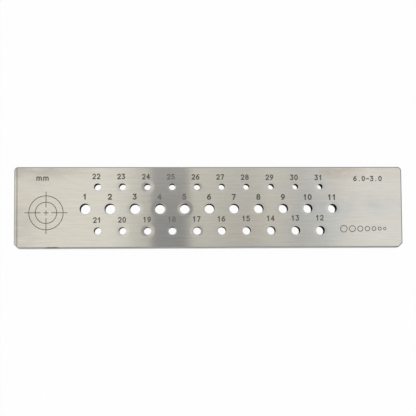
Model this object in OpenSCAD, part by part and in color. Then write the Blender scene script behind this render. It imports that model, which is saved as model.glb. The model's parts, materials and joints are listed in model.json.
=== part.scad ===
// Wire draw plate: one flat bar of hardened steel with three rows of graded die holes.
// It lies on its back with the numbered front up, length along X and width along Y.
// The origin is the middle of the back face. A wire's point goes in at the wide bell on the back,
// narrows in the approach cone, takes its size in the land and leaves through the front.
// The holes are numbered from the largest: along the middle row from the left, back along the
// lower row from the right, then along the upper row from the left.

/* [Plate] */
// Length of the plate
plate_length = 220; // [180:1:320]
// Width of the plate
plate_width = 46; // [40:0.5:80]
// Thickness of the plate
plate_thickness = 8; // [6:0.5:14]
// Leg of the clip across the two corners of the lower edge
lower_clip = 2.3; // [1:0.1:8]
// Radius of the two corners of the upper edge
upper_radius = 2.2; // [1.6:0.1:8]

/* [Edges] */
// Width of the edge break that runs round both faces
edge_break = 0.6; // [0.2:0.1:1.5]
// Width of the bevel ground across the left end of the front
end_bevel_width = 1.8; // [0.6:0.1:5]
// Depth of that bevel at the end of the plate
end_bevel_depth = 0.7; // [0.2:0.1:2.5]

/* [Hole pattern] */
// Holes in the middle row; the upper and lower rows have one fewer each
middle_count = 11; // [4:1:15]
// Spacing of the holes along a row
hole_pitch = 14; // [10:0.5:20]
// Spacing of the rows
row_spacing = 12.5; // [9:0.1:17]
// Distance of the middle row below the middle of the plate, which leaves room for the numbers
row_drop = 0.9; // [0:0.1:3]

/* [Die holes] */
// Diameter of the first, largest hole at its land
first_diameter = 6; // [4.5:0.1:8]
// Step in diameter from each hole to the next
diameter_step = 0.1; // [0.02:0.01:0.15]
// Length of the straight land that sizes the wire, as a share of the hole's diameter
land_share = 0.7; // [0.3:0.05:1]
// Longest land, as a share of the depth past the bell, which keeps room for the approach cone
land_limit = 0.6; // [0.2:0.05:0.8]
// Half angle of the approach cone
approach_angle = 3.5; // [1:0.5:8]
// Depth of the entry bell on the back
bell_depth = 0.8; // [0.3:0.1:2]
// Half angle of the entry bell
bell_angle = 45; // [20:1:60]
// Width of the polished exit ring round each hole on the front
exit_width = 0.4; // [0.1:0.05:1]
// Depth of the exit ring where it meets the land
exit_depth = 0.08; // [0.02:0.01:0.3]

/* [Hidden] */
$fn = 96;

// Row and count of each hole
outer_count = middle_count - 1;
hole_count = middle_count + 2 * outer_count;
lower_start = middle_count + 1;
upper_start = lower_start + outer_count;

// Height of the end of every land, from the back face up
land_top = plate_thickness - exit_depth;

// How far a hole's cutter runs past each face
overrun = exit_depth;

// Long enough to cut any edge of the plate from end to end
edge_cut_length = 2 * (plate_length + plate_width);

// Distance of the clip faces from the middle of the plate
clip_reach = (plate_length / 2 + plate_width / 2 - lower_clip) * cos(45);

// Each flat side of the outline: the way it faces, and how far it lies from the middle of the plate
left_end = [180, plate_length / 2];
sides = [
    [0, plate_length / 2],
    [90, plate_width / 2],
    left_end,
    [225, clip_reach],
    [270, plate_width / 2],
    [315, clip_reach],
];

// Diameter of hole n at its land
function die_diameter(n) = first_diameter - (n - 1) * diameter_step;

// Length of the land in a hole of the given diameter
function land_length(diameter) =
    min(land_share * diameter, land_limit * (plate_thickness - bell_depth));

// Place along a row of its hole i, where the row has the given count and is centred on the plate
function along_row(i, count) = (i - (count - 1) / 2) * hole_pitch;

// Centre of hole n: middle row, then the lower row from the right, then the upper row
function die_centre(n) =
    n < lower_start ? [along_row(n - 1, middle_count), -row_drop] :
    n < upper_start ? [-along_row(n - lower_start, outer_count), -row_drop - row_spacing] :
    [along_row(n - upper_start, outer_count), -row_drop + row_spacing];

// Outline of the plate from above, with the lower corners clipped
module outline() {
    x = plate_length / 2;
    y = plate_width / 2;
    polygon([
        [x, lower_clip - y],
        [x, y],
        [-x, y],
        [-x, lower_clip - y],
        [lower_clip - x, -y],
        [x - lower_clip, -y],
    ]);
}

// What the rounding takes off the upper right corner: all that lies outside a turned post,
// whose ends carry the same edge break as the sides
module corner_cutter() {
    translate([plate_length / 2 - upper_radius, plate_width / 2 - upper_radius, 0])
        difference() {
            translate([0, 0, -edge_break])
                cube([2 * upper_radius, 2 * upper_radius, plate_thickness + 2 * edge_break]);
            rotate_extrude()
                polygon([
                    [0, 0],
                    [upper_radius - edge_break, 0],
                    [upper_radius, edge_break],
                    [upper_radius, plate_thickness - edge_break],
                    [upper_radius - edge_break, plate_thickness],
                    [0, plate_thickness],
                ]);
        }
}

// Wedge that takes the edge off one side of the front: width across the face, depth down the side
module edge_cutter(side, width, depth) {
    rotate([0, 0, side[0]])
        translate([side[1], 0, plate_thickness])
            rotate([90, 0, 0])
                linear_extrude(height = edge_cut_length, center = true)
                    polygon([[-2 * width, depth], [width, -2 * depth], [width, depth]]);
}

// The same wedge on the back
module back_edge_cutter(side, width, depth) {
    translate([0, 0, plate_thickness])
        mirror([0, 0, 1])
            edge_cutter(side, width, depth);
}

// Bar with its shaped corners, edge breaks and end bevel, before it is drilled
module blank() {
    difference() {
        linear_extrude(height = plate_thickness)
            outline();
        corner_cutter();
        mirror([1, 0, 0])
            corner_cutter();
        for (side = sides) {
            edge_cutter(side, edge_break, edge_break);
            back_edge_cutter(side, edge_break, edge_break);
        }
        edge_cutter(left_end, end_bevel_width, end_bevel_depth);
    }
}

// Reamer's shape for one die hole: bell, approach cone, land and exit ring, turned about Z
module die_cutter(diameter) {
    land_radius = diameter / 2;
    land_foot = land_top - land_length(diameter);
    cone_radius = land_radius + (land_foot - bell_depth) * tan(approach_angle);
    bell_slope = tan(bell_angle);
    exit_slope = exit_width / exit_depth;
    rotate_extrude()
        polygon([
            [0, -overrun],
            [cone_radius + (bell_depth + overrun) * bell_slope, -overrun],
            [cone_radius, bell_depth],
            [land_radius, land_foot],
            [land_radius, land_top],
            [land_radius + (exit_depth + overrun) * exit_slope, plate_thickness + overrun],
            [0, plate_thickness + overrun],
        ]);
}

// The finished plate
module draw_plate() {
    color([0.79, 0.78, 0.74])
        difference() {
            blank();
            for (n = [1 : hole_count])
                translate(die_centre(n))
                    die_cutter(die_diameter(n));
        }
}

draw_plate();
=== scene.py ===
import json
import math

import bmesh
import bpy
from mathutils import Matrix, Vector


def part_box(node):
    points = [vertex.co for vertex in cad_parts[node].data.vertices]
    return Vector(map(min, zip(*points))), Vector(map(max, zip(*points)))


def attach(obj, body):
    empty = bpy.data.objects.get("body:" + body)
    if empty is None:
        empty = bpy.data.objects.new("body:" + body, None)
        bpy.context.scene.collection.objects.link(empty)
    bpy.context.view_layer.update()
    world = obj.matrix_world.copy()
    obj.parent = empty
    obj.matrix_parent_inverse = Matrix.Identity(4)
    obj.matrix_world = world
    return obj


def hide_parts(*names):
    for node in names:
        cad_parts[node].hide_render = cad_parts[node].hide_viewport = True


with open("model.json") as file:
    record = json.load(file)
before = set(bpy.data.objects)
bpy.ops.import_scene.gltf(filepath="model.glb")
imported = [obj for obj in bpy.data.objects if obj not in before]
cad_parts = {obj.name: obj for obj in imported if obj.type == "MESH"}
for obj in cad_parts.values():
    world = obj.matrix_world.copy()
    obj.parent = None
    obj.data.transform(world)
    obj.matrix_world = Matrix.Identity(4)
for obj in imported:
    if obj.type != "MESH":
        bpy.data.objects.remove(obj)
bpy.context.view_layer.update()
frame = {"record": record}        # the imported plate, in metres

mm = 0.001
weld = 0.0005 * mm   # points closer than this count as one
plateLow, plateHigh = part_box("draw_plate")
plateSize = plateHigh - plateLow
dieMounts = [mount for mount in frame["record"]["mounts"] if mount["kind"] == "bore"]
print("frame loaded, die holes:", len(dieMounts))


# small helpers for meshes

def newObject(name, data):
    piece = bpy.data.objects.new(name, data)
    bpy.context.scene.collection.objects.link(piece)
    return piece


def meshFrom(work, name):
    mesh = bpy.data.meshes.new(name)
    work.to_mesh(mesh)
    work.free()
    return mesh


def evaluatedMesh(piece):
    # the mesh of an object, with its modifiers or curve settings worked in
    bpy.context.view_layer.update()
    graph = bpy.context.evaluated_depsgraph_get()
    return bpy.data.meshes.new_from_object(piece.evaluated_get(graph))


def combine(piece, tool, operation):
    # adds the tool's shape to the piece or takes it away, and its finish comes along
    step = piece.modifiers.new("combine", "BOOLEAN")
    step.operation = operation
    step.solver = "MANIFOLD"
    step.material_mode = "TRANSFER"
    step.object = tool
    mesh = evaluatedMesh(piece)
    piece.modifiers.clear()
    piece.data = mesh
    bpy.data.objects.remove(tool)


def addCopy(work, mesh, offset):
    before = len(work.verts)
    work.from_mesh(mesh)
    work.verts.ensure_lookup_table()
    bmesh.ops.translate(work, vec=offset, verts=work.verts[before:])


def bevel(work, geom, width, steps, affect="EDGES", clamp=False):
    bmesh.ops.bevel(work, geom=geom, offset=width, segments=steps, affect=affect,
                    profile=0.5, clamp_overlap=clamp)


def flatSheet(name, size, height):
    work = bmesh.new()
    bmesh.ops.create_grid(work, x_segments=1, y_segments=1, size=0.5 * size)
    bmesh.ops.translate(work, vec=(0.0, 0.0, height), verts=work.verts)
    return newObject(name, meshFrom(work, name))


# small helpers for materials

def addNode(tree, kind, inputs=None, **settings):
    # an input is set to a value, or linked where it is given a socket
    node = tree.nodes.new(kind)
    for name, value in settings.items():
        setattr(node, name, value)
    for name, value in (inputs or {}).items():
        if isinstance(value, bpy.types.NodeSocket):
            tree.links.new(value, node.inputs[name])
        else:
            node.inputs[name].default_value = value
    return node


def newMaterial(name):
    material = bpy.data.materials.new(name)
    material.use_nodes = True
    tree = material.node_tree
    tree.nodes.clear()
    return material, tree


def useShader(tree, kind, inputs):
    shader = addNode(tree, kind, inputs)
    addNode(tree, "ShaderNodeOutputMaterial", {"Surface": shader.outputs[0]})


def calc(tree, operation, first, second):
    return addNode(tree, "ShaderNodeMath", {0: first, 1: second}, operation=operation).outputs[0]


def remap(tree, value, span, target=(0.0, 1.0)):
    inputs = {"Value": value, "From Min": span[0], "From Max": span[1],
              "To Min": target[0], "To Max": target[1]}
    return addNode(tree, "ShaderNodeMapRange", inputs).outputs[0]


def mixed(tree, first, second, share):
    rest = calc(tree, "MULTIPLY", first, 1.0 - share)
    return calc(tree, "ADD", rest, calc(tree, "MULTIPLY", second, share))


def blendColour(tree, amount, first, second, how="MIX"):
    inputs = {0: amount, 6: first, 7: second}   # the node's colour sockets
    return addNode(tree, "ShaderNodeMix", inputs, data_type="RGBA", blend_type=how).outputs[2]


def bumped(tree, height, depth):
    return addNode(tree, "ShaderNodeBump", {"Height": height, "Distance": depth}).outputs[0]


def objectCoords(tree):
    return addNode(tree, "ShaderNodeTexCoord").outputs["Object"]


def grain(tree, coords, perMetre, detail=2.0, shift=0.0):
    # noise with its own count of waves per metre along x, y and z; shift takes it from another place
    placing = {"Vector": coords, "Location": (shift, shift, shift), "Scale": perMetre}
    mapped = addNode(tree, "ShaderNodeMapping", placing)
    inputs = {"Vector": mapped.outputs[0], "Scale": 1.0, "Detail": detail, "Roughness": 0.55}
    return addNode(tree, "ShaderNodeTexNoise", inputs).outputs[0]


def spot(tree, coords, centre, reach):
    # 1 at the centre, fading to 0 at the reach along each axis, both in mm
    scale = tuple(1.0 / (length * mm) for length in reach)
    place = tuple(-at / length for at, length in zip(centre, reach))
    mapped = addNode(tree, "ShaderNodeMapping", {"Vector": coords, "Location": place, "Scale": scale})
    inputs = {"Vector": mapped.outputs[0]}
    return addNode(tree, "ShaderNodeTexGradient", inputs, gradient_type="SPHERICAL").outputs[1]


# rust spot on the lower edge, near the left end, which shows on the face and on the edge

rustSpot = {
    "colour": (0.16, 0.128, 0.10, 1.0),
    "centre": (-88.5, -23.0, 7.2),   # in mm
    "reach": (5.6, 1.3, 1.6),
    "grain": {"perMetre": (900.0, 1600.0, 1600.0), "detail": 4.0},
    "grainSpan": (0.35, 0.65),
    "raggedness": (0.45, 1.3),
    "faceSpan": (0.05, 0.5),   # where it starts and where it covers the steel
    "edgeSpan": (0.02, 0.3),
}


def rusted(tree, coords, colour, span):
    # lays the rust over the colour, with a ragged edge
    noise = grain(tree, coords, **rustSpot["grain"])
    ragged = remap(tree, noise, rustSpot["grainSpan"], rustSpot["raggedness"])
    mask = calc(tree, "MULTIPLY", spot(tree, coords, rustSpot["centre"], rustSpot["reach"]), ragged)
    return blendColour(tree, remap(tree, mask, span), colour, rustSpot["colour"])


# steel of the plate: brushed along its length, with a few handling stains

steelLook = {
    "light": (0.725, 0.704, 0.66, 1.0),
    "dull": (0.645, 0.626, 0.585, 1.0),
    "warm": (1.0, 0.98, 0.945, 1.0),
    "cool": (0.975, 0.985, 0.98, 1.0),
    "brown": (0.51, 0.393, 0.313, 1.0),
    "drab": (0.44, 0.42, 0.396, 1.0),
    "grey": (0.56, 0.57, 0.565, 1.0),
    "grains": {
        "fine": {"perMetre": (60.0, 7000.0, 7000.0)},
        "mid": {"perMetre": (22.0, 1300.0, 1300.0), "shift": 3.0},
        "wide": {"perMetre": (9.0, 260.0, 260.0), "shift": 7.0},
        "streaks": {"perMetre": (100.0, 1000.0, 1000.0), "detail": 3.0, "shift": 23.0},
        "patches": {"perMetre": (38.0, 70.0, 70.0), "detail": 3.0, "shift": 11.0},
        "smears": {"perMetre": (110.0, 230.0, 230.0), "detail": 4.0, "shift": 17.0},
    },
    "midShare": 0.65,
    "streakShare": 0.55,
    "wideShare": 0.5,
    "shineSpan": (0.35, 0.65),   # from dull to light
    "tintSpan": (0.38, 0.62),   # from warm to cool
    "smearSpan": (0.32, 0.60),
    "smearing": (0.2, 1.0),   # how much of a stain is left where it is wiped, and where it isn't
    "roughSpan": (0.6, 1.4),
    "roughness": (0.075, 0.115),
    "bumpHeight": 0.004 * mm,
}
stains = [   # in mm
    {"centre": (76.0, 20.4, 8.0), "reach": (15.0, 5.5, 8.0), "strength": 0.95, "colour": "brown"},
    {"centre": (-95.0, 22.0, 8.0), "reach": (34.0, 10.0, 8.0), "strength": 0.75, "colour": "drab"},
    {"centre": (-109.0, 22.0, 8.0), "reach": (6.5, 6.0, 8.0), "strength": 0.95, "colour": "drab"},
    {"centre": (-107.0, -9.0, 8.0), "reach": (14.0, 22.0, 8.0), "strength": 0.45, "colour": "drab"},
    {"centre": (104.0, 20.0, 8.0), "reach": (12.0, 8.0, 8.0), "strength": 0.25, "colour": "brown"},
    {"centre": (90.0, 1.0, 8.0), "reach": (38.0, 9.0, 8.0), "strength": 0.85, "colour": "grey"},
]


def brushedSteel(look):
    material, tree = newMaterial("brushed_steel")
    coords = objectCoords(tree)
    grains = {name: grain(tree, coords, **setting) for name, setting in look["grains"].items()}
    lines = mixed(tree, grains["fine"], grains["mid"], look["midShare"])
    shine = mixed(tree, lines, grains["streaks"], look["streakShare"])
    bands = mixed(tree, grains["patches"], grains["wide"], look["wideShare"])
    colour = blendColour(tree, remap(tree, shine, look["shineSpan"]), look["dull"], look["light"])
    tint = blendColour(tree, remap(tree, bands, look["tintSpan"]), look["warm"], look["cool"])
    colour = blendColour(tree, 1.0, colour, tint, "MULTIPLY")
    smear = remap(tree, grains["smears"], look["smearSpan"], look["smearing"])
    for stain in stains:
        mask = calc(tree, "MULTIPLY", spot(tree, coords, stain["centre"], stain["reach"]), smear)
        mask = calc(tree, "MULTIPLY", mask, stain["strength"])
        colour = blendColour(tree, mask, colour, look[stain["colour"]])
    colour = rusted(tree, coords, colour, rustSpot["faceSpan"])
    wear = calc(tree, "ADD", grains["wide"], lines)
    tangent = addNode(tree, "ShaderNodeTangent", direction_type="UV_MAP", uv_map="brush")
    useShader(tree, "ShaderNodeBsdfPrincipled", {
        "Base Color": colour,
        "Metallic": 1.0,
        "Roughness": remap(tree, wear, look["roughSpan"], look["roughness"]),
        "Anisotropic": 1.0,
        "Normal": bumped(tree, lines, look["bumpHeight"]),
        "Tangent": tangent.outputs[0],
    })
    return material


# walls and broken edges: ground, and darker than the faces

edgeLook = {
    "light": (0.375, 0.37, 0.353, 1.0),
    "dark": (0.265, 0.261, 0.252, 1.0),
    "lines": {"perMetre": (30.0, 3200.0, 3200.0), "shift": 5.0},
    "mottle": {"perMetre": (240.0, 240.0, 240.0), "detail": 4.0, "shift": 9.0},
    "mottleShare": 0.4,
    "shineSpan": (0.35, 0.65),   # from dark to light
    "roughSpan": (0.3, 0.7),
    "roughness": (0.30, 0.48),
    "bumpHeight": 0.006 * mm,
    "dull": (0.20, 0.198, 0.19, 1.0),   # at the right end
    "dullCentre": (110.0, 0.0, 4.0),   # in mm
    "dullReach": (6.0, 60.0, 20.0),
    "dullSpan": (0.0, 0.6),
}


def groundEdge(look):
    material, tree = newMaterial("ground_edge")
    coords = objectCoords(tree)
    mottle = grain(tree, coords, **look["mottle"])
    marks = mixed(tree, grain(tree, coords, **look["lines"]), mottle, look["mottleShare"])
    colour = blendColour(tree, remap(tree, marks, look["shineSpan"]), look["dark"], look["light"])
    rightEnd = spot(tree, coords, look["dullCentre"], look["dullReach"])
    colour = blendColour(tree, remap(tree, rightEnd, look["dullSpan"]), colour, look["dull"])
    colour = rusted(tree, coords, colour, rustSpot["edgeSpan"])
    useShader(tree, "ShaderNodeBsdfPrincipled", {
        "Base Color": colour,
        "Metallic": 1.0,
        "Roughness": remap(tree, mottle, look["roughSpan"], look["roughness"]),
        "Normal": bumped(tree, marks, look["bumpHeight"]),
    })
    return material


# inside of the die holes: painted shade, a near-black colour with no shine that stands in for the shade
# deep in the holes, on hardened steel with faint turning rings

boreShadeLook = {
    # near-black tones and no shine: painted shade inside the holes
    "dark": (0.02, 0.019, 0.018, 1.0),
    "light": (0.07, 0.067, 0.063, 1.0),
    "rings": {"perMetre": (60.0, 60.0, 2400.0)},
    "ringSpan": (0.3, 0.7),
    "roughness": (0.42, 0.6),
    "shine": 0.0,
    "bumpHeight": 0.004 * mm,
}


def darkBore(look):
    material, tree = newMaterial("bore_painted_shade")
    rings = grain(tree, objectCoords(tree), **look["rings"])
    colour = blendColour(tree, remap(tree, rings, look["ringSpan"]), look["dark"], look["light"])
    useShader(tree, "ShaderNodeBsdfPrincipled", {
        "Base Color": colour,
        "Roughness": remap(tree, rings, look["ringSpan"], look["roughness"]),
        "Specular IOR Level": look["shine"],
        "Normal": bumped(tree, rings, look["bumpHeight"]),
    })
    return material


# cut marks: dark in the grooves, and painted paler in one place along the plate, a painted light where
# the dark reflection band crosses the numbers

markLook = {
    "dark": (0.13, 0.12, 0.105, 1.0),
    "light": (0.20, 0.185, 0.165, 1.0),
    "specks": {"perMetre": (2600.0, 2600.0, 2600.0), "detail": 3.0},
    "speckSpan": (0.3, 0.7),
    "roughness": (0.5, 0.75),
    "shine": 0.1,
    "bumpHeight": 0.01 * mm,
    # painted light: a paler groove colour where the dark reflection band crosses the plate
    "paintedLight": (0.25, 0.235, 0.215, 1.0),
    "paintedLightCentre": (-22.0, 0.0, 8.0),   # in mm
    "paintedLightReach": (14.0, 60.0, 20.0),
    "paintedLightSpan": (0.1, 0.45),
}


def markGroove(look):
    material, tree = newMaterial("mark_groove")
    coords = objectCoords(tree)
    specks = grain(tree, coords, **look["specks"])
    colour = blendColour(tree, remap(tree, specks, look["speckSpan"]), look["dark"], look["light"])
    # painted light on the grooves under the dark reflection band
    paintedLightMask = spot(tree, coords, look["paintedLightCentre"], look["paintedLightReach"])
    colour = blendColour(tree, remap(tree, paintedLightMask, look["paintedLightSpan"]), colour, look["paintedLight"])
    useShader(tree, "ShaderNodeBsdfPrincipled", {
        "Base Color": colour,
        "Roughness": remap(tree, specks, look["speckSpan"], look["roughness"]),
        "Specular IOR Level": look["shine"],
        "Normal": bumped(tree, specks, look["bumpHeight"]),
    })
    return material


steel = brushedSteel(steelLook)
edgeSteel = groundEdge(edgeLook)
# the bore finish is painted shade: near black, with no shine
boreShadeSteel = darkBore(boreShadeLook)
markSteel = markGroove(markLook)
print("finishes made")


# the bar: rounded upper corners, clipped lower corners, broken edges, a shallow bevel on its left end

barShape = {
    "upperRadius": 2.2 * mm,
    "upperSteps": 12,
    "lowerClip": 2.3 * mm,
    "edgeBreak": 0.6 * mm,
    # distance from the end and depth, facet by facet
    "endBevel": ((2.2 * mm, 0.0), (1.15 * mm, 0.165 * mm), (0.4 * mm, 0.455 * mm), (0.0, 0.85 * mm)),
    "softening": 0.07 * mm,
    "softeningSteps": 2,
    "softenOver": math.radians(8.0),   # angle between two faces
    "flatOver": 0.9,   # a face whose normal points up or down by more than this is brushed
}


def cutEndBevel(work, corners):
    # one flat cut for each facet, closed again before the next
    for (inner, upperDepth), (outer, lowerDepth) in zip(corners, corners[1:]):
        start = Vector((plateLow.x + inner, 0.0, plateHigh.z - upperDepth))
        facing = Vector((upperDepth - lowerDepth, 0.0, inner - outer)).normalized()
        everything = work.verts[:] + work.edges[:] + work.faces[:]
        cut = bmesh.ops.bisect_plane(work, geom=everything, dist=weld, plane_co=start,
                                     plane_no=facing, clear_outer=True)
        rim = [item for item in cut["geom_cut"] if isinstance(item, bmesh.types.BMEdge)]
        bmesh.ops.contextual_create(work, geom=rim)


def makeBar(shape):
    work = bmesh.new()
    bmesh.ops.create_grid(work, x_segments=1, y_segments=1, size=0.5)
    bmesh.ops.scale(work, vec=(plateSize.x, plateSize.y, 1.0), verts=work.verts)
    bmesh.ops.translate(work, vec=(0.0, 0.0, plateLow.z), verts=work.verts)
    upper = [vert for vert in work.verts if vert.co.y > 0.0]
    bevel(work, upper, shape["upperRadius"], shape["upperSteps"], affect="VERTICES")
    lower = [vert for vert in work.verts if vert.co.y < 0.0]
    bevel(work, lower, shape["lowerClip"], 1, affect="VERTICES")
    raised = bmesh.ops.extrude_face_region(work, geom=work.faces[:])["geom"]
    bmesh.ops.translate(work, vec=(0.0, 0.0, plateSize.z),
                        verts=[item for item in raised if isinstance(item, bmesh.types.BMVert)])
    bmesh.ops.recalc_face_normals(work, faces=work.faces)
    rims = [edge for edge in work.edges if abs(edge.verts[0].co.z - edge.verts[1].co.z) < weld]
    bevel(work, rims, shape["edgeBreak"], 1)
    cutEndBevel(work, shape["endBevel"])
    bmesh.ops.recalc_face_normals(work, faces=work.faces)
    sharp = [edge for edge in work.edges if edge.calc_face_angle(0.0) > shape["softenOver"]]
    bevel(work, sharp, shape["softening"], shape["softeningSteps"], clamp=True)
    for face in work.faces:
        face.material_index = 0 if abs(face.normal.z) > shape["flatOver"] else 1
    bar = newObject("engraved_plate", meshFrom(work, "engraved_plate"))
    for finish in (steel, edgeSteel):
        bar.data.materials.append(finish)
    return bar


plate = makeBar(barShape)
print("bar made, faces:", len(plate.data.polygons))


# die holes: a polished roll-off at the front, the land, the approach cone and the bell at the back

dieShape = {
    "rollWidth": 2.4 * mm,
    "rollDepth": 0.03 * mm,
    "rollPower": 2.0,
    "rollSteps": 8,
    "lipWidth": 0.02 * mm,   # how far the cutter reaches past the roll-off
    "lipHeight": 0.002 * mm,   # and how far it stays above the front there
    "rimShare": 0.04,   # rounding of the rim, as a share of the hole's radius
    "rimSteps": 4,
    "approachAngle": math.radians(3.5),
    "bellDepth": 0.8 * mm,
    "bellAngle": math.radians(45.0),
    "overshoot": 0.5 * mm,
    "sides": 64,
}


def dieProfile(radius, landEnd, shape):
    # radius and height of each point, from above the front down to below the back
    top = plateHigh.z + shape["overshoot"]
    bottom = plateLow.z - shape["overshoot"]
    outer = radius + shape["rollWidth"] + shape["lipWidth"]
    rimRadius = shape["rimShare"] * radius
    points = [(0.0, top), (outer, top), (outer, plateHigh.z + shape["lipHeight"])]
    for step in range(1, shape["rollSteps"] + 1):
        share = step / shape["rollSteps"]
        across = shape["rollWidth"] - share * (shape["rollWidth"] - rimRadius)
        sunk = shape["rollDepth"] * (1.0 - across / shape["rollWidth"]) ** shape["rollPower"]
        points.append((radius + across, plateHigh.z - sunk))
    rimTop = points[-1][1]
    for step in range(1, shape["rimSteps"] + 1):
        turn = 0.5 * math.pi * step / shape["rimSteps"]
        across = rimRadius * (1.0 - math.sin(turn))
        sunk = rimRadius * (1.0 - math.cos(turn))
        points.append((radius + across, rimTop - sunk))
    bellStart = plateLow.z + shape["bellDepth"]
    coneEnd = radius + (landEnd - bellStart) * math.tan(shape["approachAngle"])
    bellEnd = coneEnd + (bellStart - bottom) * math.tan(shape["bellAngle"])
    return points + [(radius, landEnd), (coneEnd, bellStart), (bellEnd, bottom), (0.0, bottom)]


def turnedMesh(points, sides):
    # a closed turned solid about the z axis
    work = bmesh.new()
    ring = [work.verts.new((radius, 0.0, height)) for radius, height in points]
    edges = [work.edges.new(pair) for pair in zip(ring, ring[1:])]
    bmesh.ops.spin(work, geom=ring + edges, cent=(0.0, 0.0, 0.0), axis=(0.0, 0.0, 1.0),
                   angle=2.0 * math.pi, steps=sides, use_merge=True)
    bmesh.ops.remove_doubles(work, verts=work.verts, dist=weld)
    bmesh.ops.recalc_face_normals(work, faces=work.faces)
    return meshFrom(work, "turned")


def makeDieCutter(shape):
    work = bmesh.new()
    for mount in dieMounts:
        centre = Vector(mount["pos_m"])
        landEnd = centre.z - 0.5 * mount["dims"]["length_mm"] * mm
        turned = turnedMesh(dieProfile(mount["dims"]["r_mm"] * mm, landEnd, shape), shape["sides"])
        addCopy(work, turned, (centre.x, centre.y, 0.0))
    rollFloor = plateHigh.z - shape["rollDepth"]
    bellRoof = plateLow.z + shape["bellDepth"]
    # the hole walls between the roll-off and the bell take the bore finish, whose near-black colour is
    # painted shade
    for face in work.faces:
        height = face.calc_center_median().z
        face.material_index = 0 if height > rollFloor else 1 if height > bellRoof else 2
    cutter = newObject("die_cutter", meshFrom(work, "die_cutter"))
    for finish in (steel, boreShadeSteel, edgeSteel):
        cutter.data.materials.append(finish)
    return cutter


combine(plate, makeDieCutter(dieShape), "DIFFERENCE")
print("die holes cut, faces:", len(plate.data.polygons))


# engraved numbers: a round-nosed cutter follows each stroke

numberShape = {
    "noseLift": 0.13 * mm,   # height of the nose's centre above the front
    "noseSides": 12,
    "arcSteps": 12,   # in half a turn
    # each row is cut in its own setting, so size, place over the hole and slope differ a little
    "rows": {
        "upper": {"height": 2.60 * mm, "width": 1.50 * mm, "pitch": 2.45 * mm, "noseRadius": 0.37 * mm,
                  "aside": -0.80 * mm, "above": 5.61 * mm, "slope": -0.0061},
        "middle": {"height": 2.70 * mm, "width": 1.70 * mm, "pitch": 2.60 * mm, "noseRadius": 0.42 * mm,
                   "aside": -0.20 * mm, "above": 6.75 * mm, "slope": -0.0036},
        "lower": {"height": 2.65 * mm, "width": 1.55 * mm, "pitch": 2.45 * mm, "noseRadius": 0.36 * mm,
                  "aside": -0.35 * mm, "above": 6.71 * mm, "slope": 0.0079},
    },
    # the range of sizes, and their unit
    "labels": [
        {"height": 2.50 * mm, "width": 1.50 * mm, "pitch": 2.40 * mm, "noseRadius": 0.36 * mm,
         "label": "6.0-3.0", "centre": Vector((90.4, 16.2, 0.0)) * mm},
        {"height": 3.00 * mm, "width": 2.50 * mm, "pitch": 3.80 * mm, "noseRadius": 0.36 * mm,
         "label": "mm", "centre": Vector((-94.0, 16.9, 0.0)) * mm},
    ],
}


def line(*points):
    return [Vector(point) for point in points]


def arc(centre, radii, start, end):
    steps = max(2, round(numberShape["arcSteps"] * abs(end - start) / 180.0))
    points = []
    for step in range(steps + 1):
        turn = math.radians(start + (end - start) * step / steps)
        across = centre[0] + radii[0] * math.cos(turn)
        points.append(Vector((across, centre[1] + radii[1] * math.sin(turn))))
    return points


def turnedRound(strokes):
    return [[Vector((1.0 - point.x, 1.0 - point.y)) for point in stroke] for stroke in strokes]


# strokes in a box one wide and one high
sixStrokes = [arc((0.5, 0.3), (0.48, 0.3), 180, 540), arc((0.95, 0.3), (0.93, 0.7), 180, 100)]
glyphs = {
    "0": [arc((0.5, 0.5), (0.48, 0.5), 0, 360)],
    "1": [line((0.2, 0.76), (0.55, 1.0)), line((0.55, 1.0), (0.55, 0.0))],
    "2": [arc((0.5, 0.71), (0.48, 0.29), 165, -35), line((0.893, 0.544), (0.03, 0.0)),
          line((0.03, 0.0), (1.0, 0.0))],
    "3": [line((0.05, 1.0), (0.92, 1.0)), line((0.92, 1.0), (0.48, 0.6)),
          arc((0.45, 0.3), (0.5, 0.3), 85, -150)],
    "4": [line((0.72, 0.0), (0.72, 1.0)), line((0.72, 1.0), (0.0, 0.3)), line((0.0, 0.3), (1.0, 0.3))],
    "5": [line((0.9, 1.0), (0.18, 1.0)), line((0.18, 1.0), (0.116, 0.563)),
          arc((0.47, 0.33), (0.5, 0.33), 135, -150)],
    "6": sixStrokes,
    "7": [line((0.02, 1.0), (0.98, 1.0)), line((0.98, 1.0), (0.38, 0.0))],
    "8": [arc((0.5, 0.755), (0.41, 0.245), 0, 360), arc((0.5, 0.27), (0.49, 0.27), 0, 360)],
    "9": turnedRound(sixStrokes),
    ".": [line((0.5, 0.03))],
    "-": [line((0.12, 0.45), (0.88, 0.45))],
    "m": [line((0.0, 0.0), (0.0, 0.62)), arc((0.25, 0.42), (0.25, 0.2), 180, 0),
          line((0.5, 0.42), (0.5, 0.0)), arc((0.75, 0.42), (0.25, 0.2), 180, 0),
          line((1.0, 0.42), (1.0, 0.0))],
}


def noseMesh(place, radius, sides):
    work = bmesh.new()
    bmesh.ops.create_uvsphere(work, u_segments=sides, v_segments=sides // 2, radius=radius,
                              matrix=Matrix.Translation(place))
    return meshFrom(work, "nose")


def tubeMesh(points, closed, radius, sides):
    path = bpy.data.curves.new("stroke", "CURVE")
    path.dimensions = "3D"
    path.bevel_depth = radius
    path.bevel_resolution = sides // 4 - 1
    path.use_fill_caps = True
    spline = path.splines.new("POLY")
    spline.points.add(len(points) - 1)
    for knot, point in zip(spline.points, points):
        knot.co = (point.x, point.y, point.z, 1.0)
    spline.use_cyclic_u = closed
    carrier = newObject("stroke", path)
    work = bmesh.new()
    work.from_mesh(evaluatedMesh(carrier))
    bpy.data.objects.remove(carrier)
    bmesh.ops.remove_doubles(work, verts=work.verts, dist=weld)
    bmesh.ops.recalc_face_normals(work, faces=work.faces)
    return meshFrom(work, "stroke")


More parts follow.
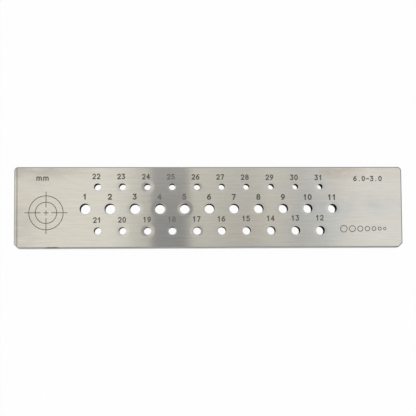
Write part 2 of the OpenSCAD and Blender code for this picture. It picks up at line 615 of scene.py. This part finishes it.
def strokeMeshes(points, radius, sides):
    # the round-nosed cutter's path along one stroke: a tube, with a ball at each free end
    if len(points) == 1:
        return [noseMesh(points[0], radius, sides)]
    if (points[0] - points[-1]).length < weld:
        return [tubeMesh(points[:-1], True, radius, sides)]
    ends = [noseMesh(point, radius, sides) for point in (points[0], points[-1])]
    return [tubeMesh(points, False, radius, sides)] + ends


def fusedStrokes(strokes, radius, sides):
    meshes = [mesh for stroke in strokes for mesh in strokeMeshes(stroke, radius, sides)]
    whole = newObject("strokes", meshes[0])
    for mesh in meshes[1:]:
        combine(whole, newObject("stroke", mesh), "UNION")
    fused = whole.data
    bpy.data.objects.remove(whole)
    return fused


def makeGlyph(sign, style):
    strokes = [[Vector((point.x * style["width"], point.y * style["height"], 0.0)) for point in stroke]
               for stroke in glyphs[sign]]
    return fusedStrokes(strokes, style["noseRadius"], numberShape["noseSides"])


def addLabel(work, label, centre, style, made):
    # made keeps the glyphs of this style that are already cut
    start = centre.x - 0.5 * style["pitch"] * (len(label) - 1) - 0.5 * style["width"]
    base = centre.y - 0.5 * style["height"]
    for place, sign in enumerate(label):
        if sign not in made:
            made[sign] = makeGlyph(sign, style)
        offset = Vector((start + place * style["pitch"], base, plateHigh.z + numberShape["noseLift"]))
        addCopy(work, made[sign], offset)


def rowOf(height):
    rows = sorted({round(mount["pos_m"][1], 5) for mount in dieMounts})
    return dict(zip(rows, ("lower", "middle", "upper")))[round(height, 5)]


def makeNumberCutter(shape):
    work = bmesh.new()
    madeGlyphs = {row: {} for row in shape["rows"]}
    for count, mount in enumerate(dieMounts, 1):
        hole = Vector(mount["pos_m"])
        row = rowOf(hole.y)
        style = shape["rows"][row]
        centre = hole + Vector((style["aside"], style["above"] + style["slope"] * hole.x, 0.0))
        addLabel(work, str(count), centre, style, madeGlyphs[row])
    for style in shape["labels"]:
        addLabel(work, style["label"], style["centre"], style, {})
    cutter = newObject("number_cutter", meshFrom(work, "number_cutter"))
    cutter.data.materials.append(markSteel)
    return cutter


combine(plate, makeNumberCutter(numberShape), "DIFFERENCE")
print("numbers engraved, faces:", len(plate.data.polygons))


# shallow signs: a round section with its centre lines, and a row of rings from wide to narrow

signShape = {
    "noseRadius": 0.30 * mm,
    "noseLift": 0.20 * mm,
    "noseSides": 16,
    "roundCentre": Vector((-92.0, -3.0, 0.0)) * mm,
    "roundRadii": (6.0 * mm, 9.6 * mm),
    "roundSteps": 72,
    "centreLine": ((-11.8, -3.2), (-1.2, 1.2), (3.2, 11.8)),   # dashes along each centre line, in mm
    "ringsCentre": Vector((87.5, -12.5, 0.0)) * mm,
    "ringCount": 7,
    "ringRadii": (1.9 * mm, 0.7 * mm),
    "ringGap": 1.3 * mm,
    "ringSteps": 36,
}


def circleStroke(centre, radius, steps):
    points = []
    for step in range(steps + 1):
        turn = 2.0 * math.pi * (step % steps) / steps
        points.append(centre + Vector((radius * math.cos(turn), radius * math.sin(turn), 0.0)))
    return points


def sectionStrokes(shape, middle):
    strokes = [circleStroke(middle, radius, shape["roundSteps"]) for radius in shape["roundRadii"]]
    for start, end in shape["centreLine"]:
        strokes.append([middle + Vector((start * mm, 0.0, 0.0)), middle + Vector((end * mm, 0.0, 0.0))])
        strokes.append([middle + Vector((0.0, start * mm, 0.0)), middle + Vector((0.0, end * mm, 0.0))])
    return strokes


def ringStrokes(shape, middle):
    wide, narrow = shape["ringRadii"]
    gaps = shape["ringCount"] - 1
    step = (narrow - wide) / gaps
    radii = [wide + count * step for count in range(shape["ringCount"])]
    aside = -sum(radii) - 0.5 * shape["ringGap"] * gaps
    strokes = []
    for radius in radii:
        centre = middle + Vector((aside + radius, 0.0, 0.0))
        strokes.append(circleStroke(centre, radius, shape["ringSteps"]))
        aside += 2.0 * radius + shape["ringGap"]
    return strokes


def makeSignCutter(shape):
    lift = Vector((0.0, 0.0, plateHigh.z + shape["noseLift"]))
    strokes = sectionStrokes(shape, shape["roundCentre"] + lift)
    strokes += ringStrokes(shape, shape["ringsCentre"] + lift)
    cutter = newObject("sign_cutter", fusedStrokes(strokes, shape["noseRadius"], shape["noseSides"]))
    cutter.data.materials.clear()   # the fused strokes come with an empty slot
    cutter.data.materials.append(markSteel)
    return cutter


combine(plate, makeSignCutter(signShape), "DIFFERENCE")
print("signs cut, faces:", len(plate.data.polygons))


# finish of the mesh: smooth faces, sharp edges kept, and a map that lays the brush lines along the plate

finishShape = {
    "sliver": 0.002 * mm,   # thin faces left by the cuts
    "flatOver": 0.7,   # a face whose normal points up or down by more than this is mapped from above
    "sharpOver": math.radians(30.0),   # angle between two faces
}


def finishPlate(piece, shape):
    mesh = piece.data
    work = bmesh.new()
    work.from_mesh(mesh)
    bmesh.ops.dissolve_degenerate(work, dist=shape["sliver"], edges=work.edges)
    strays = [edge for edge in work.edges if edge.is_wire]
    bmesh.ops.delete(work, geom=strays, context="EDGES")
    brush = work.loops.layers.uv.new("brush")
    for face in work.faces:
        face.smooth = True
        flat = abs(face.normal.z) > shape["flatOver"]
        for loop in face.loops:
            place = loop.vert.co
            loop[brush].uv = (place.y, place.x) if flat else (place.z, place.x + place.y)
    work.to_mesh(mesh)
    work.free()
    mesh.set_sharp_from_angle(angle=shape["sharpOver"])
    weighted = piece.modifiers.new("weighted_normals", "WEIGHTED_NORMAL")
    weighted.mode = "FACE_AREA"
    weighted.keep_sharp = True


finishPlate(plate, finishShape)
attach(plate, "root")
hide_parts("draw_plate")
print("plate finished")


# camera nearly straight above, a little to the left and below the middle of the plate

shot = {
    "place": Vector((-18.6, -58.2, 503.0)) * mm,
    "aim": Vector((-1.0, -28.9, 8.0)) * mm,
    "right": Vector((0.99936, -0.00651, 0.03519)),
    "lens": 76.1,
    "sensor": 36.0,
    "rise": 0.1204,   # upward shift of the picture's frame
}


def makeCamera(view):
    data = bpy.data.cameras.new("shot")
    data.lens = view["lens"]
    data.sensor_width = view["sensor"]
    data.shift_y = view["rise"]
    camera = newObject("shot", data)
    back = (view["place"] - view["aim"]).normalized()
    right = (view["right"] - back * view["right"].dot(back)).normalized()
    up = back.cross(right)
    turn = Matrix((right, up, back)).transposed().to_4x4()
    camera.matrix_world = Matrix.Translation(view["place"]) @ turn
    bpy.context.scene.camera = camera


makeCamera(shot)
print("camera placed")


# studio: a white floor, a wide soft roof light with a dark slot in it, and a plain room

white = (1.0, 1.0, 1.0, 1.0)
floorLook = {"size": 60.0, "colour": (0.9, 0.9, 0.9, 1.0), "glow": 0.97, "below": 0.05 * mm}
roofLook = {
    "size": 2.4,
    "height": 0.505,
    "warm": (1.0, 0.985, 0.94),
    "plain": (1.0, 0.995, 0.985),
    "cool": (0.97, 1.0, 1.03),
    "haze": 0.25,   # paler by this much towards its far side, and from where to where along y
    "hazeSpan": (45.0 * mm, 105.0 * mm),
    # place across in mm, level, tone
    "levels": [(-620, 0.96, "warm"), (-560, 0.60, "warm"), (-310, 0.60, "warm"), (-250, 0.90, "warm"),
               (-150, 0.97, "warm"), (-95, 0.97, "warm"), (-75, 0.855, "warm"), (-63, 0.735, "warm"),
               (-52, 0.665, "warm"), (-3, 0.69, "warm"), (15, 0.71, "warm"), (38, 0.65, "warm"),
               (60, 0.625, "warm"), (75, 0.66, "warm"), (90, 0.735, "warm"), (122, 0.63, "cool"),
               (157, 0.77, "cool"), (174, 0.885, "plain"), (191, 0.95, "plain"), (225, 0.98, "plain")],
}
# dark slot along y: where its sides lie, and how wide each fades at the start and end of the haze
slotLook = {"level": 0.37, "tone": "cool", "left": -47.4 * mm, "right": -4.6 * mm,
            "leftFade": (5.0 * mm, 1.0 * mm), "rightFade": (12.0 * mm, 1.0 * mm)}
roomLook = {"level": 0.42, "seen": 0.985}   # light that it gives, and how white it looks


def seenRay(tree):
    # 1 for what shows straight on, in a reflection or through something, and 0 for plain light
    path = addNode(tree, "ShaderNodeLightPath")
    seen = calc(tree, "MAXIMUM", path.outputs["Is Camera Ray"], path.outputs["Is Glossy Ray"])
    return calc(tree, "MAXIMUM", seen, path.outputs["Is Transmission Ray"])


def makeFloor(look):
    floor = flatSheet("floor", look["size"], plateLow.z - look["below"])
    material, tree = newMaterial("floor_white")
    paint = addNode(tree, "ShaderNodeBsdfDiffuse", {"Color": look["colour"]})
    glow = addNode(tree, "ShaderNodeEmission", {"Color": white, "Strength": 1.0})
    share = calc(tree, "MULTIPLY", seenRay(tree), look["glow"])
    useShader(tree, "ShaderNodeMixShader", {0: share, 1: paint.outputs[0], 2: glow.outputs[0]})
    floor.data.materials.append(material)


def toned(look, level, tone):
    return tuple(level * channel for channel in look[tone]) + (1.0,)


def fadedStep(tree, across, middle, fade, far):
    # 0 before the middle and 1 past it, with a fade that changes from near to far
    half = calc(tree, "MULTIPLY", remap(tree, far, (0.0, 1.0), fade), 0.5)
    low = calc(tree, "SUBTRACT", middle, half)
    high = calc(tree, "ADD", middle, half)
    return remap(tree, across, (low, high))


def makeRoof(look, slot):
    roof = flatSheet("roof_light", look["size"], look["height"])
    material, tree = newMaterial("roof_glow")
    across, along = addNode(tree, "ShaderNodeSeparateXYZ", {0: objectCoords(tree)}).outputs[:2]
    half = 0.5 * look["size"]
    ramp = addNode(tree, "ShaderNodeValToRGB", {0: remap(tree, across, (-half, half))})
    stops = ramp.color_ramp.elements
    while len(stops) < len(look["levels"]):
        stops.new(1.0)
    for stop, (place, level, tone) in zip(stops, look["levels"]):
        stop.position = place * mm / look["size"] + 0.5
        stop.color = toned(look, level, tone)
    far = remap(tree, along, look["hazeSpan"])
    past = [fadedStep(tree, across, slot[side], slot[side + "Fade"], far) for side in ("left", "right")]
    inSlot = calc(tree, "SUBTRACT", *past)
    colour = blendColour(tree, inSlot, ramp.outputs[0], toned(look, slot["level"], slot["tone"]))
    haze = calc(tree, "MULTIPLY", far, look["haze"])
    colour = blendColour(tree, haze, colour, toned(look, 1.0, "plain"))
    useShader(tree, "ShaderNodeEmission", {"Color": colour, "Strength": 1.0})
    roof.data.materials.append(material)
    roof.visible_camera = False


def makeRoom(look):
    world = bpy.data.worlds.new("room")
    bpy.context.scene.world = world
    world.use_nodes = True
    tree = world.node_tree
    walls = tree.nodes["Background"]
    walls.inputs["Color"].default_value = white
    shade = remap(tree, seenRay(tree), (0.0, 1.0), (look["level"], look["seen"]))
    tree.links.new(shade, walls.inputs["Strength"])


makeFloor(floorLook)
makeRoof(roofLook, slotLook)
makeRoom(roomLook)
bpy.context.scene.view_settings.view_transform = "Standard"
print("studio ready")
